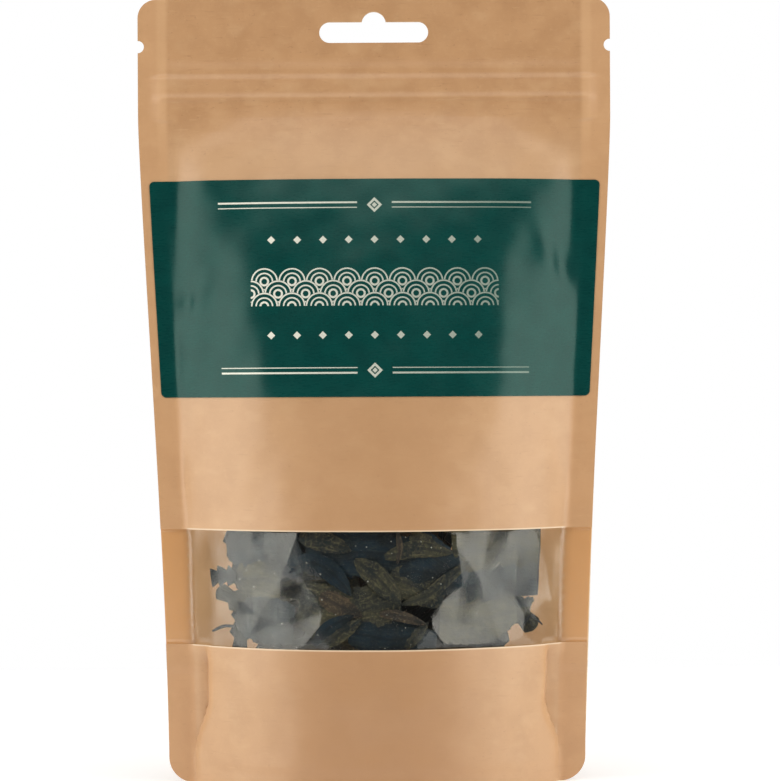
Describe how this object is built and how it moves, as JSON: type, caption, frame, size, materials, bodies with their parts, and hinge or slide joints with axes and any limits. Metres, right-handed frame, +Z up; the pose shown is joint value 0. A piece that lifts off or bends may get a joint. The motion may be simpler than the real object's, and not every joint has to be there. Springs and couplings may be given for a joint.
{
  "type": "stand-up pouch of dried serrated wrack",
  "caption": "Kraft paper stand-up pouch with a clear window strip, a zip, a hang slot and a green label, filled with dried serrated wrack.",
  "frame": {"origin": "middle of the rectangle under the standing pouch, at the height of its bottom rim", "axes": "+Z up; the front with the label and the window faces -Y; +X to the right seen from the front"},
  "size_m": [0.14, 0.0552, 0.232],
  "materials": {
    "kraft_paper": "uncoated brown kraft paper with fine fibres",
    "kraft_back": "brown kraft paper, film-lined inside",
    "clear_film": "clear glossy film with soft creases",
    "label_print": "dark green label, satin",
    "zip_plastic": "milky plastic strip",
    "dried_wrack": "dried seaweed, dark olive to blue-black, half glossy"
  },
  "bodies": {
    "root": {"front_paper_upper": "kraft_paper", "front_paper_lower": "kraft_paper", "back_panel": "kraft_back", "bottom_gusset": "kraft_back", "window_film": "clear_film", "label": "label_print", "zip_groove_strip": "zip_plastic", "zip_rib_strip": "zip_plastic", "wrack_blade_01": "dried_wrack", "wrack_blade_02": "dried_wrack", "wrack_blade_03": "dried_wrack", "wrack_blade_04": "dried_wrack", "wrack_blade_05": "dried_wrack", "wrack_blade_06": "dried_wrack", "wrack_blade_07": "dried_wrack", "wrack_blade_08": "dried_wrack", "wrack_blade_09": "dried_wrack", "wrack_blade_10": "dried_wrack", "wrack_blade_11": "dried_wrack", "wrack_blade_12": "dried_wrack", "wrack_blade_13": "dried_wrack", "wrack_blade_14": "dried_wrack", "wrack_blade_15": "dried_wrack", "wrack_blade_16": "dried_wrack", "wrack_blade_17": "dried_wrack", "wrack_blade_18": "dried_wrack", "wrack_blade_19": "dried_wrack", "wrack_blade_20": "dried_wrack", "wrack_blade_21": "dried_wrack", "wrack_blade_22": "dried_wrack", "wrack_blade_23": "dried_wrack", "wrack_blade_24": "dried_wrack", "wrack_blade_25": "dried_wrack", "wrack_blade_26": "dried_wrack", "wrack_blade_27": "dried_wrack", "wrack_blade_28": "dried_wrack", "wrack_blade_29": "dried_wrack", "wrack_blade_30": "dried_wrack", "wrack_blade_31": "dried_wrack", "wrack_blade_32": "dried_wrack", "wrack_blade_33": "dried_wrack", "wrack_blade_34": "dried_wrack", "wrack_blade_35": "dried_wrack", "wrack_blade_36": "dried_wrack", "wrack_blade_37": "dried_wrack", "wrack_blade_38": "dried_wrack", "wrack_blade_39": "dried_wrack", "wrack_blade_40": "dried_wrack", "wrack_blade_41": "dried_wrack", "wrack_blade_42": "dried_wrack", "wrack_blade_43": "dried_wrack", "wrack_blade_44": "dried_wrack", "wrack_blade_45": "dried_wrack", "wrack_blade_46": "dried_wrack", "wrack_blade_47": "dried_wrack", "wrack_blade_48": "dried_wrack", "wrack_blade_49": "dried_wrack", "wrack_blade_50": "dried_wrack"}
  },
  "joints": []
}
